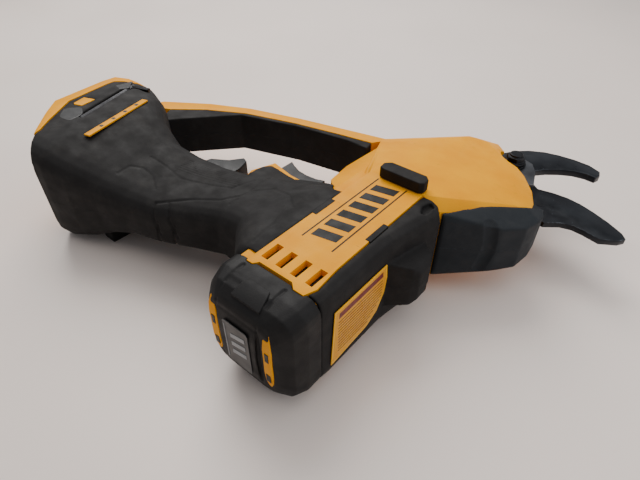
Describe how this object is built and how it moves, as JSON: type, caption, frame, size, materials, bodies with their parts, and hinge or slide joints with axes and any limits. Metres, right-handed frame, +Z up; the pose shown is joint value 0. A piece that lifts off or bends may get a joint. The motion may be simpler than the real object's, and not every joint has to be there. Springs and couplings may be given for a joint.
{
  "type": "battery electric pruner",
  "caption": "Hand-held battery pruner with a motor barrel, D-shaped hand guard, trigger handle, battery foot and a hinged cutting blade that closes on a fixed hook blade.",
  "frame": {"origin": "centre of the bounding box in plan, on the surface that the tool lies on", "axes": "+X from the battery foot to the blades, +Y from the motor end cap to the hand guard, +Z up through the thickness, from the left side that it lies on to the right side"},
  "size_m": [0.3792, 0.276, 0.078],
  "materials": {
    "yellow_plastic": "satin yellow moulded nylon",
    "black_rubber": "matt textured overmould",
    "nose_rubber": "matt blue-black overmould",
    "black_plastic": "matt black",
    "badge_grey": "satin grey",
    "label_film": "satin printed film, left blank",
    "bright_steel": "ground steel",
    "coated_blade": "black low-friction coating, bright ground edge",
    "black_oxide": "black oxide",
    "cast_aluminium": "die cast",
    "brass": "bright",
    "circuit_board": "solder mask"
  },
  "bodies": {
    "tool_body": {"right_housing": "yellow_plastic", "left_housing": "yellow_plastic", "cap_inlay_left": "yellow_plastic", "cap_inlay_right": "yellow_plastic", "foot_stripe_right": "yellow_plastic", "foot_stripe_left": "yellow_plastic", "wrench_clip": "yellow_plastic", "right_grip": "black_rubber", "left_grip": "black_rubber", "right_guard_liner": "black_rubber", "left_guard_liner": "black_rubber", "right_side_pad": "black_rubber", "left_side_pad": "black_rubber", "right_bumper": "black_rubber", "left_bumper": "black_rubber", "rear_cap": "black_rubber", "rest_foot": "black_rubber", "right_nose": "nose_rubber", "left_nose": "nose_rubber", "cap_badge": "badge_grey", "rating_label": "label_film", "battery_rail_plate": "black_plastic", "terminal_block": "black_plastic", "switch_module": "black_plastic", "terminal_blade_1": "brass", "terminal_blade_2": "brass", "terminal_blade_3": "brass", "control_board": "circuit_board", "gearbox_case": "cast_aluminium", "trigger_spring": "bright_steel", "lock_off_pin": "bright_steel", "motor_can": "bright_steel", "output_bearing": "bright_steel", "upper_bearing": "bright_steel", "lower_bearing": "bright_steel", "pivot_plate": "bright_steel", "pivot_washer": "bright_steel", "hook_blade": "coated_blade", "pivot_bolt": "black_oxide", "pivot_nut": "black_oxide", "housing_screw_1": "bright_steel", "housing_screw_2": "bright_steel", "housing_screw_3": "bright_steel", "housing_screw_4": "bright_steel", "housing_screw_5": "bright_steel", "housing_screw_6": "bright_steel"},
    "blade": {"cutting_blade": "coated_blade", "sector_gear": "bright_steel", "blade_pin": "bright_steel"},
    "drive_shaft_body": {"drive_shaft": "bright_steel", "bevel_gear": "bright_steel", "spur_pinion": "bright_steel"},
    "output": {"output_shaft": "bright_steel"},
    "rotor": {"motor_shaft": "bright_steel", "motor_fan": "black_plastic"},
    "trigger_body": {"trigger": "black_plastic"},
    "lock_lever": {"lock_off_lever": "black_plastic"},
    "wrench": {"hex_wrench": "black_oxide"}
  },
  "joints": [
    {"name": "blade_hinge", "type": "hinge", "parent": "tool_body", "child": "blade", "pos_m": [0.10467, 0.097, 0.039], "axis": [0, 0, 1], "range_deg": [0, 45]},
    {"name": "drive_shaft_spin", "type": "hinge", "parent": "tool_body", "child": "drive_shaft_body", "pos_m": [0.07217, 0.06588, 0.039], "axis": [0, 0, 1], "range_deg": [-180, 0]},
    {"name": "output_spin", "type": "hinge", "parent": "tool_body", "child": "output", "pos_m": [0.07217, 0.016, 0.039], "axis": [0, 1, 0], "range_deg": [-360, 0]},
    {"name": "rotor_spin", "type": "hinge", "parent": "tool_body", "child": "rotor", "pos_m": [0.07217, -0.054, 0.039], "axis": [0, 1, 0], "range_deg": [-1080, 0]},
    {"name": "trigger_slide", "type": "slide", "parent": "tool_body", "child": "trigger_body", "axis": [0, -1, 0], "range_m": [0, 0.006], "stiffness_N_per_m": 800},
    {"name": "lock_lever_hinge", "type": "hinge", "parent": "tool_body", "child": "lock_lever", "pos_m": [-0.04983, -0.053, 0.039], "axis": [0, 0, 1], "range_deg": [0, 10], "stiffness_Nm_per_rad": 0.6},
    {"name": "wrench_slide", "type": "slide", "parent": "tool_body", "child": "wrench", "axis": [0, 0, 1], "range_m": [0, 0.012]}
  ],
  "couplings": [
    {"joint": "drive_shaft_spin", "follows": "blade_hinge", "ratio": -4},
    {"joint": "output_spin", "follows": "blade_hinge", "ratio": -8},
    {"joint": "rotor_spin", "follows": "blade_hinge", "ratio": -24}
  ]
}
